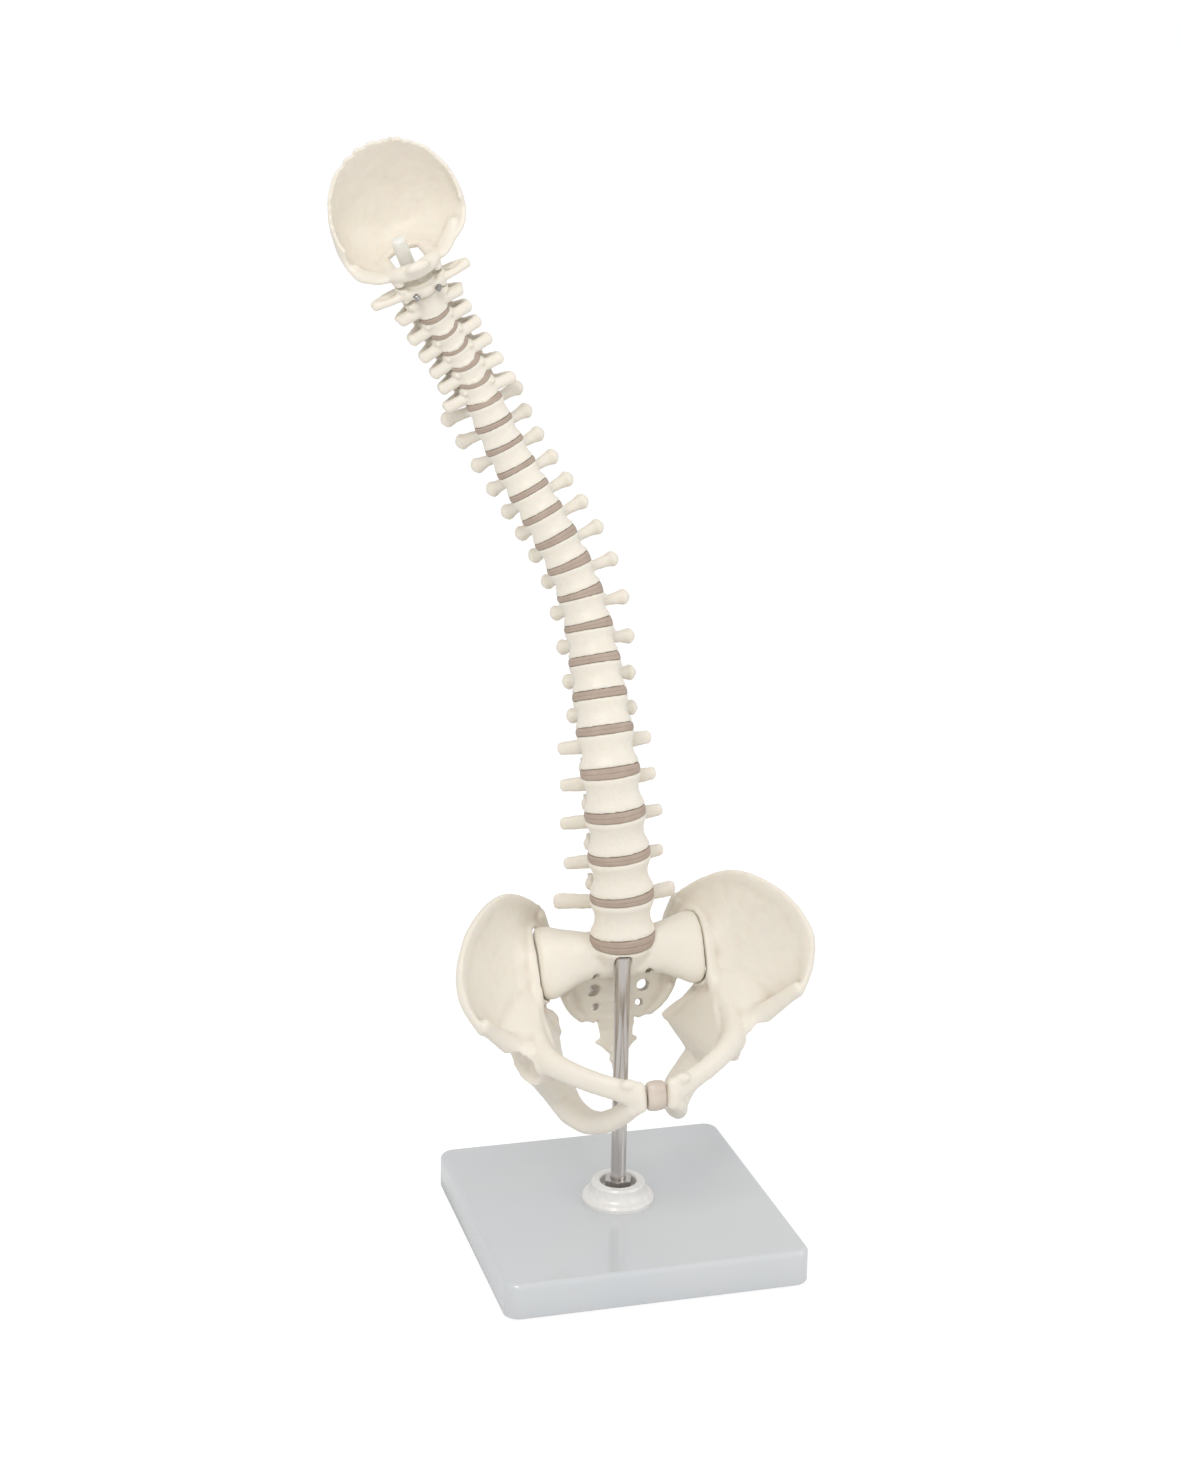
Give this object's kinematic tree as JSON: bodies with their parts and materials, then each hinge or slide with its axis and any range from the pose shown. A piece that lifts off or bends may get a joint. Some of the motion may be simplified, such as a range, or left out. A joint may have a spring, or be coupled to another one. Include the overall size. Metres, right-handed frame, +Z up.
{
  "type": "spine anatomy model",
  "caption": "Flexible spine teaching model with pelvis and occipital bone, threaded on a bending core and held by a steel rod on a square base.",
  "frame": {"origin": "centre of the base underside", "axes": "+Z up, -Y the front of the body, +X the left side of the body"},
  "size_m": [0.1773, 0.12, 0.4246],
  "materials": {
    "base": "gloss",
    "collar": "gloss",
    "sheet": "matte",
    "steel": "polished",
    "bone": "satin",
    "disc": "matte",
    "cartilage": "satin",
    "tube": "satin"
  },
  "bodies": {
    "stand": {"base_plate": "base", "base_sheet": "sheet", "base_collar": "collar", "rod_nuts": "steel", "rod_washer": "steel", "support_rod": "steel", "sacrum": "bone", "left_hip_bone": "bone", "right_hip_bone": "bone", "pubic_symphysis": "cartilage", "core_tube": "tube"},
    "d_l5_s1": {"disc_l5_s1": "disc"},
    "vertebra_l5": {"vertebra_l5": "bone"},
    "d_l4_l5": {"disc_l4_l5": "disc"},
    "vertebra_l4": {"vertebra_l4": "bone"},
    "d_l3_l4": {"disc_l3_l4": "disc"},
    "vertebra_l3": {"vertebra_l3": "bone"},
    "d_l2_l3": {"disc_l2_l3": "disc"},
    "vertebra_l2": {"vertebra_l2": "bone"},
    "d_l1_l2": {"disc_l1_l2": "disc"},
    "vertebra_l1": {"vertebra_l1": "bone"},
    "d_t12_l1": {"disc_t12_l1": "disc"},
    "vertebra_t12": {"vertebra_t12": "bone"},
    "d_t11_t12": {"disc_t11_t12": "disc"},
    "vertebra_t11": {"vertebra_t11": "bone"},
    "d_t10_t11": {"disc_t10_t11": "disc"},
    "vertebra_t10": {"vertebra_t10": "bone"},
    "d_t9_t10": {"disc_t9_t10": "disc"},
    "vertebra_t9": {"vertebra_t9": "bone"},
    "d_t8_t9": {"disc_t8_t9": "disc"},
    "vertebra_t8": {"vertebra_t8": "bone"},
    "d_t7_t8": {"disc_t7_t8": "disc"},
    "vertebra_t7": {"vertebra_t7": "bone"},
    "d_t6_t7": {"disc_t6_t7": "disc"},
    "vertebra_t6": {"vertebra_t6": "bone"},
    "d_t5_t6": {"disc_t5_t6": "disc"},
    "vertebra_t5": {"vertebra_t5": "bone"},
    "d_t4_t5": {"disc_t4_t5": "disc"},
    "vertebra_t4": {"vertebra_t4": "bone"},
    "d_t3_t4": {"disc_t3_t4": "disc"},
    "vertebra_t3": {"vertebra_t3": "bone"},
    "d_t2_t3": {"disc_t2_t3": "disc"},
    "vertebra_t2": {"vertebra_t2": "bone"},
    "d_t1_t2": {"disc_t1_t2": "disc"},
    "vertebra_t1": {"vertebra_t1": "bone"},
    "d_c7_t1": {"disc_c7_t1": "disc"},
    "vertebra_c7": {"vertebra_c7": "bone"},
    "d_c6_c7": {"disc_c6_c7": "disc"},
    "vertebra_c6": {"vertebra_c6": "bone"},
    "d_c5_c6": {"disc_c5_c6": "disc"},
    "vertebra_c5": {"vertebra_c5": "bone"},
    "d_c4_c5": {"disc_c4_c5": "disc"},
    "vertebra_c4": {"vertebra_c4": "bone"},
    "d_c3_c4": {"disc_c3_c4": "disc"},
    "vertebra_c3": {"vertebra_c3": "bone"},
    "d_c2_c3": {"disc_c2_c3": "disc"},
    "axis_c2": {"axis_c2": "bone"},
    "atlas_c1": {"atlas_c1": "bone", "atlas_springs": "steel"},
    "occipital_bone": {"occipital_bone": "bone"}
  },
  "joints": [
    {"name": "lumbar_side_bend", "type": "hinge", "parent": "stand", "child": "d_l5_s1", "pos_m": [0.0012, 0.00517, 0.12341], "axis": [0, -0.9613, -0.2756], "range_deg": [-3.5, 3.5], "deforming": ["disc_l5_s1", "core_tube"]},
    {"name": "lumbar_flexion", "type": "hinge", "parent": "d_l5_s1", "child": "vertebra_l5", "pos_m": [0.0012, 0.00517, 0.12341], "axis": [0.998, -0.0173, 0.0604], "range_deg": [-3, 4], "deforming": ["disc_l5_s1"]},
    {"name": "l4_l5_side_bend", "type": "hinge", "parent": "vertebra_l5", "child": "d_l4_l5", "pos_m": [0.00008, 0.00359, 0.14151], "axis": [-0.0433, -0.9951, -0.0894], "range_deg": [-3.5, 3.5], "deforming": ["disc_l4_l5"]},
    {"name": "l4_l5_flexion", "type": "hinge", "parent": "d_l4_l5", "child": "vertebra_l4", "pos_m": [0.00008, 0.00359, 0.14151], "axis": [0.9926, -0.0531, 0.1095], "range_deg": [-3, 4], "deforming": ["disc_l4_l5"]},
    {"name": "l3_l4_side_bend", "type": "hinge", "parent": "vertebra_l4", "child": "d_l3_l4", "pos_m": [-0.00191, 0.00227, 0.15886], "axis": [-0.0755, -0.9936, -0.0841], "range_deg": [-3.5, 3.5], "deforming": ["disc_l3_l4"]},
    {"name": "l3_l4_flexion", "type": "hinge", "parent": "d_l3_l4", "child": "vertebra_l3", "pos_m": [-0.00191, 0.00227, 0.15886], "axis": [0.9886, -0.0856, 0.1242], "range_deg": [-3, 4], "deforming": ["disc_l3_l4"]},
    {"name": "l2_l3_side_bend", "type": "hinge", "parent": "vertebra_l3", "child": "d_l2_l3", "pos_m": [-0.00409, 0.00146, 0.1757], "axis": [-0.1099, -0.992, -0.0621], "range_deg": [-3.5, 3.5], "deforming": ["disc_l2_l3"]},
    {"name": "l2_l3_flexion", "type": "hinge", "parent": "d_l2_l3", "child": "vertebra_l2", "pos_m": [-0.00409, 0.00146, 0.1757], "axis": [0.9856, -0.1168, 0.1223], "range_deg": [-3, 4], "deforming": ["disc_l2_l3"]},
    {"name": "l1_l2_side_bend", "type": "hinge", "parent": "vertebra_l2", "child": "d_l1_l2", "pos_m": [-0.00598, 0.00267, 0.19203], "axis": [-0.1556, -0.9863, 0.0552], "range_deg": [-3.5, 3.5], "deforming": ["disc_l1_l2"]},
    {"name": "l1_l2_flexion", "type": "hinge", "parent": "d_l1_l2", "child": "vertebra_l1", "pos_m": [-0.00598, 0.00267, 0.19203], "axis": [0.9808, -0.1476, 0.1276], "range_deg": [-3, 4], "deforming": ["disc_l1_l2"]},
    {"name": "thoracic_side_bend", "type": "hinge", "parent": "vertebra_l1", "child": "d_t12_l1", "pos_m": [-0.00743, 0.00609, 0.20718], "axis": [-0.202, -0.9594, 0.1969], "range_deg": [-5, 2.5], "deforming": ["disc_t12_l1"]},
    {"name": "thoracic_flexion", "type": "hinge", "parent": "d_t12_l1", "child": "vertebra_t12", "pos_m": [-0.00743, 0.00609, 0.20718], "axis": [0.9742, -0.1763, 0.1406], "range_deg": [-3, 3], "deforming": ["disc_t12_l1"]},
    {"name": "t11_t12_side_bend", "type": "hinge", "parent": "vertebra_t12", "child": "d_t11_t12", "pos_m": [-0.00858, 0.0101, 0.22013], "axis": [-0.26, -0.9286, 0.2647], "range_deg": [-5, 2.5], "deforming": ["disc_t11_t12"]},
    {"name": "t11_t12_flexion", "type": "hinge", "parent": "d_t11_t12", "child": "vertebra_t11", "pos_m": [-0.00858, 0.0101, 0.22013], "axis": [0.9613, -0.2232, 0.1613], "range_deg": [-3, 3], "deforming": ["disc_t11_t12"]},
    {"name": "t10_t11_side_bend", "type": "hinge", "parent": "vertebra_t11", "child": "d_t10_t11", "pos_m": [-0.00975, 0.01413, 0.23271], "axis": [-0.3107, -0.9131, 0.2641], "range_deg": [-5, 2.5], "deforming": ["disc_t10_t11"]},
    {"name": "t10_t11_flexion", "type": "hinge", "parent": "d_t10_t11", "child": "vertebra_t10", "pos_m": [-0.00975, 0.01413, 0.23271], "axis": [0.9443, -0.2649, 0.1952], "range_deg": [-3, 3], "deforming": ["disc_t10_t11"]},
    {"name": "t9_t10_side_bend", "type": "hinge", "parent": "vertebra_t10", "child": "d_t9_t10", "pos_m": [-0.01129, 0.01773, 0.24504], "axis": [-0.3557, -0.9082, 0.2205], "range_deg": [-5, 2.5], "deforming": ["disc_t9_t10"]},
    {"name": "t9_t10_flexion", "type": "hinge", "parent": "d_t9_t10", "child": "vertebra_t9", "pos_m": [-0.01129, 0.01773, 0.24504], "axis": [0.9164, -0.2927, 0.273], "range_deg": [-3, 3], "deforming": ["disc_t9_t10"]},
    {"name": "t8_t9_side_bend", "type": "hinge", "parent": "vertebra_t9", "child": "d_t8_t9", "pos_m": [-0.01398, 0.02049, 0.25703], "axis": [-0.3859, -0.9142, 0.1235], "range_deg": [-5, 2.5], "deforming": ["disc_t8_t9"]},
    {"name": "t8_t9_flexion", "type": "hinge", "parent": "d_t8_t9", "child": "vertebra_t8", "pos_m": [-0.01398, 0.02049, 0.25703], "axis": [0.8712, -0.3171, 0.3746], "range_deg": [-3, 3], "deforming": ["disc_t8_t9"]},
    {"name": "t7_t8_side_bend", "type": "hinge", "parent": "vertebra_t8", "child": "d_t7_t8", "pos_m": [-0.01807, 0.02234, 0.26811], "axis": [-0.3823, -0.9239, 0.0137], "range_deg": [-5, 2.5], "deforming": ["disc_t7_t8"]},
    {"name": "t7_t8_flexion", "type": "hinge", "parent": "d_t7_t8", "child": "vertebra_t7", "pos_m": [-0.01807, 0.02234, 0.26811], "axis": [0.8254, -0.3347, 0.4547], "range_deg": [-3, 3], "deforming": ["disc_t7_t8"]},
    {"name": "t6_t7_side_bend", "type": "hinge", "parent": "vertebra_t7", "child": "d_t6_t7", "pos_m": [-0.02289, 0.02386, 0.27797], "axis": [-0.3455, -0.9381, -0.025], "range_deg": [-5, 2.5], "deforming": ["disc_t6_t7"]},
    {"name": "t6_t7_flexion", "type": "hinge", "parent": "d_t6_t7", "child": "vertebra_t6", "pos_m": [-0.02289, 0.02386, 0.27797], "axis": [0.8093, -0.3114, 0.4981], "range_deg": [-3, 3], "deforming": ["disc_t6_t7"]},
    {"name": "t5_t6_side_bend", "type": "hinge", "parent": "vertebra_t6", "child": "d_t5_t6", "pos_m": [-0.02782, 0.02553, 0.28702], "axis": [-0.3212, -0.947, 0], "range_deg": [-5, 2.5], "deforming": ["disc_t5_t6"]},
    {"name": "t5_t6_flexion", "type": "hinge", "parent": "d_t5_t6", "child": "vertebra_t5", "pos_m": [-0.02782, 0.02553, 0.28702], "axis": [0.816, -0.2768, 0.5075], "range_deg": [-3, 3], "deforming": ["disc_t5_t6"]},
    {"name": "t4_t5_side_bend", "type": "hinge", "parent": "vertebra_t5", "child": "d_t4_t5", "pos_m": [-0.0326, 0.02724, 0.29564], "axis": [-0.2881, -0.9571, 0.0305], "range_deg": [-5, 2.5], "deforming": ["disc_t4_t5"]},
    {"name": "t4_t5_flexion", "type": "hinge", "parent": "d_t4_t5", "child": "vertebra_t4", "pos_m": [-0.0326, 0.02724, 0.29564], "axis": [0.8349, -0.2354, 0.4976], "range_deg": [-3, 3], "deforming": ["disc_t4_t5"]},
    {"name": "t3_t4_side_bend", "type": "hinge", "parent": "vertebra_t4", "child": "d_t3_t4", "pos_m": [-0.03726, 0.02865, 0.30412], "axis": [-0.2375, -0.9709, 0.0304], "range_deg": [-5, 2.5], "deforming": ["disc_t3_t4"]},
    {"name": "t3_t4_flexion", "type": "hinge", "parent": "d_t3_t4", "child": "vertebra_t3", "pos_m": [-0.03726, 0.02865, 0.30412], "axis": [0.8595, -0.1955, 0.4723], "range_deg": [-3, 3], "deforming": ["disc_t3_t4"]},
    {"name": "t2_t3_side_bend", "type": "hinge", "parent": "vertebra_t3", "child": "d_t2_t3", "pos_m": [-0.04169, 0.02948, 0.31253], "axis": [-0.1743, -0.9847, 0.0057], "range_deg": [-5, 2.5], "deforming": ["disc_t2_t3"]},
    {"name": "t2_t3_flexion", "type": "hinge", "parent": "d_t2_t3", "child": "vertebra_t2", "pos_m": [-0.04169, 0.02948, 0.31253], "axis": [0.8855, -0.1542, 0.4383], "range_deg": [-3, 3], "deforming": ["disc_t2_t3"]},
    {"name": "t1_t2_side_bend", "type": "hinge", "parent": "vertebra_t2", "child": "d_t1_t2", "pos_m": [-0.0458, 0.0296, 0.32088], "axis": [-0.1066, -0.9936, -0.0386], "range_deg": [-5, 2.5], "deforming": ["disc_t1_t2"]},
    {"name": "t1_t2_flexion", "type": "hinge", "parent": "d_t1_t2", "child": "vertebra_t1", "pos_m": [-0.0458, 0.0296, 0.32088], "axis": [0.9056, -0.1131, 0.4088], "range_deg": [-3, 3], "deforming": ["disc_t1_t2"]},
    {"name": "neck_side_bend", "type": "hinge", "parent": "vertebra_t1", "child": "d_c7_t1", "pos_m": [-0.04957, 0.02928, 0.32915], "axis": [-0.0538, -0.9966, -0.0626], "range_deg": [-4, 4], "deforming": ["disc_c7_t1"]},
    {"name": "neck_flexion", "type": "hinge", "parent": "d_c7_t1", "child": "vertebra_c7", "pos_m": [-0.04957, 0.02928, 0.32915], "axis": [0.9069, -0.075, 0.4147], "range_deg": [-4, 4], "deforming": ["disc_c7_t1"]},
    {"name": "c6_c7_side_bend", "type": "hinge", "parent": "vertebra_c7", "child": "d_c6_c7", "pos_m": [-0.05302, 0.0285, 0.33655], "axis": [-0.0028, -0.9943, -0.1063], "range_deg": [-4, 4], "deforming": ["disc_c6_c7"]},
    {"name": "c6_c7_flexion", "type": "hinge", "parent": "d_c6_c7", "child": "vertebra_c6", "pos_m": [-0.05302, 0.0285, 0.33655], "axis": [0.8758, -0.0538, 0.4797], "range_deg": [-4, 4], "deforming": ["disc_c6_c7"]},
    {"name": "c5_c6_side_bend", "type": "hinge", "parent": "vertebra_c6", "child": "d_c5_c6", "pos_m": [-0.05669, 0.02761, 0.34315], "axis": [0.0098, -0.9916, -0.129], "range_deg": [-4, 4], "deforming": ["disc_c5_c6"]},
    {"name": "c5_c6_flexion", "type": "hinge", "parent": "d_c5_c6", "child": "vertebra_c5", "pos_m": [-0.05669, 0.02761, 0.34315], "axis": [0.8323, -0.0634, 0.5506], "range_deg": [-4, 4], "deforming": ["disc_c5_c6"]},
    {"name": "c4_c5_side_bend", "type": "hinge", "parent": "vertebra_c5", "child": "d_c4_c5", "pos_m": [-0.0609, 0.02649, 0.34938], "axis": [0.0291, -0.987, -0.1577], "range_deg": [-4, 4], "deforming": ["disc_c4_c5"]},
    {"name": "c4_c5_flexion", "type": "hinge", "parent": "d_c4_c5", "child": "vertebra_c4", "pos_m": [-0.0609, 0.02649, 0.34938], "axis": [0.8205, -0.0665, 0.5677], "range_deg": [-4, 4], "deforming": ["disc_c4_c5"]},
    {"name": "c3_c4_side_bend", "type": "hinge", "parent": "vertebra_c4", "child": "d_c3_c4", "pos_m": [-0.06521, 0.02492, 0.35543], "axis": [0.0639, -0.9763, -0.2068], "range_deg": [-4, 4], "deforming": ["disc_c3_c4"]},
    {"name": "c3_c4_flexion", "type": "hinge", "parent": "d_c3_c4", "child": "vertebra_c3", "pos_m": [-0.06521, 0.02492, 0.35543], "axis": [0.8455, -0.0571, 0.531], "range_deg": [-4, 4], "deforming": ["disc_c3_c4"]},
    {"name": "c2_c3_side_bend", "type": "hinge", "parent": "vertebra_c3", "child": "d_c2_c3", "pos_m": [-0.06921, 0.02295, 0.36159], "axis": [0.0916, -0.964, -0.2495], "range_deg": [-4, 4], "deforming": ["disc_c2_c3"]},
    {"name": "c2_c3_flexion", "type": "hinge", "parent": "d_c2_c3", "child": "axis_c2", "pos_m": [-0.06921, 0.02295, 0.36159], "axis": [0.8817, -0.0379, 0.4702], "range_deg": [-4, 4], "deforming": ["disc_c2_c3"]},
    {"name": "atlas_turn", "type": "hinge", "parent": "axis_c2", "child": "atlas_c1", "pos_m": [-0.07369, 0.01934, 0.36973], "axis": [-0.4042, -0.3149, 0.8587], "range_deg": [-30, 30]},
    {"name": "head_nod", "type": "hinge", "parent": "atlas_c1", "child": "occipital_bone", "pos_m": [-0.07976, 0.0169, 0.38274], "axis": [0.9074, -0.0198, 0.4199], "range_deg": [-10, 12]}
  ],
  "couplings": [
    {"joint": "l4_l5_side_bend", "follows": "lumbar_side_bend", "ratio": 1},
    {"joint": "l4_l5_flexion", "follows": "lumbar_flexion", "ratio": 1},
    {"joint": "l3_l4_side_bend", "follows": "lumbar_side_bend", "ratio": 1},
    {"joint": "l3_l4_flexion", "follows": "lumbar_flexion", "ratio": 1},
    {"joint": "l2_l3_side_bend", "follows": "lumbar_side_bend", "ratio": 1},
    {"joint": "l2_l3_flexion", "follows": "lumbar_flexion", "ratio": 1},
    {"joint": "l1_l2_side_bend", "follows": "lumbar_side_bend", "ratio": 1},
    {"joint": "l1_l2_flexion", "follows": "lumbar_flexion", "ratio": 1},
    {"joint": "t11_t12_side_bend", "follows": "thoracic_side_bend", "ratio": 1},
    {"joint": "t11_t12_flexion", "follows": "thoracic_flexion", "ratio": 1},
    {"joint": "t10_t11_side_bend", "follows": "thoracic_side_bend", "ratio": 1},
    {"joint": "t10_t11_flexion", "follows": "thoracic_flexion", "ratio": 1},
    {"joint": "t9_t10_side_bend", "follows": "thoracic_side_bend", "ratio": 1},
    {"joint": "t9_t10_flexion", "follows": "thoracic_flexion", "ratio": 1},
    {"joint": "t8_t9_side_bend", "follows": "thoracic_side_bend", "ratio": 1},
    {"joint": "t8_t9_flexion", "follows": "thoracic_flexion", "ratio": 1},
    {"joint": "t7_t8_side_bend", "follows": "thoracic_side_bend", "ratio": 1},
    {"joint": "t7_t8_flexion", "follows": "thoracic_flexion", "ratio": 1},
    {"joint": "t6_t7_side_bend", "follows": "thoracic_side_bend", "ratio": 1},
    {"joint": "t6_t7_flexion", "follows": "thoracic_flexion", "ratio": 1},
    {"joint": "t5_t6_side_bend", "follows": "thoracic_side_bend", "ratio": 1},
    {"joint": "t5_t6_flexion", "follows": "thoracic_flexion", "ratio": 1},
    {"joint": "t4_t5_side_bend", "follows": "thoracic_side_bend", "ratio": 1},
    {"joint": "t4_t5_flexion", "follows": "thoracic_flexion", "ratio": 1},
    {"joint": "t3_t4_side_bend", "follows": "thoracic_side_bend", "ratio": 1},
    {"joint": "t3_t4_flexion", "follows": "thoracic_flexion", "ratio": 1},
    {"joint": "t2_t3_side_bend", "follows": "thoracic_side_bend", "ratio": 1},
    {"joint": "t2_t3_flexion", "follows": "thoracic_flexion", "ratio": 1},
    {"joint": "t1_t2_side_bend", "follows": "thoracic_side_bend", "ratio": 1},
    {"joint": "t1_t2_flexion", "follows": "thoracic_flexion", "ratio": 1},
    {"joint": "c6_c7_side_bend", "follows": "neck_side_bend", "ratio": 1},
    {"joint": "c6_c7_flexion", "follows": "neck_flexion", "ratio": 1},
    {"joint": "c5_c6_side_bend", "follows": "neck_side_bend", "ratio": 1},
    {"joint": "c5_c6_flexion", "follows": "neck_flexion", "ratio": 1},
    {"joint": "c4_c5_side_bend", "follows": "neck_side_bend", "ratio": 1},
    {"joint": "c4_c5_flexion", "follows": "neck_flexion", "ratio": 1},
    {"joint": "c3_c4_side_bend", "follows": "neck_side_bend", "ratio": 1},
    {"joint": "c3_c4_flexion", "follows": "neck_flexion", "ratio": 1},
    {"joint": "c2_c3_side_bend", "follows": "neck_side_bend", "ratio": 1},
    {"joint": "c2_c3_flexion", "follows": "neck_flexion", "ratio": 1}
  ]
}
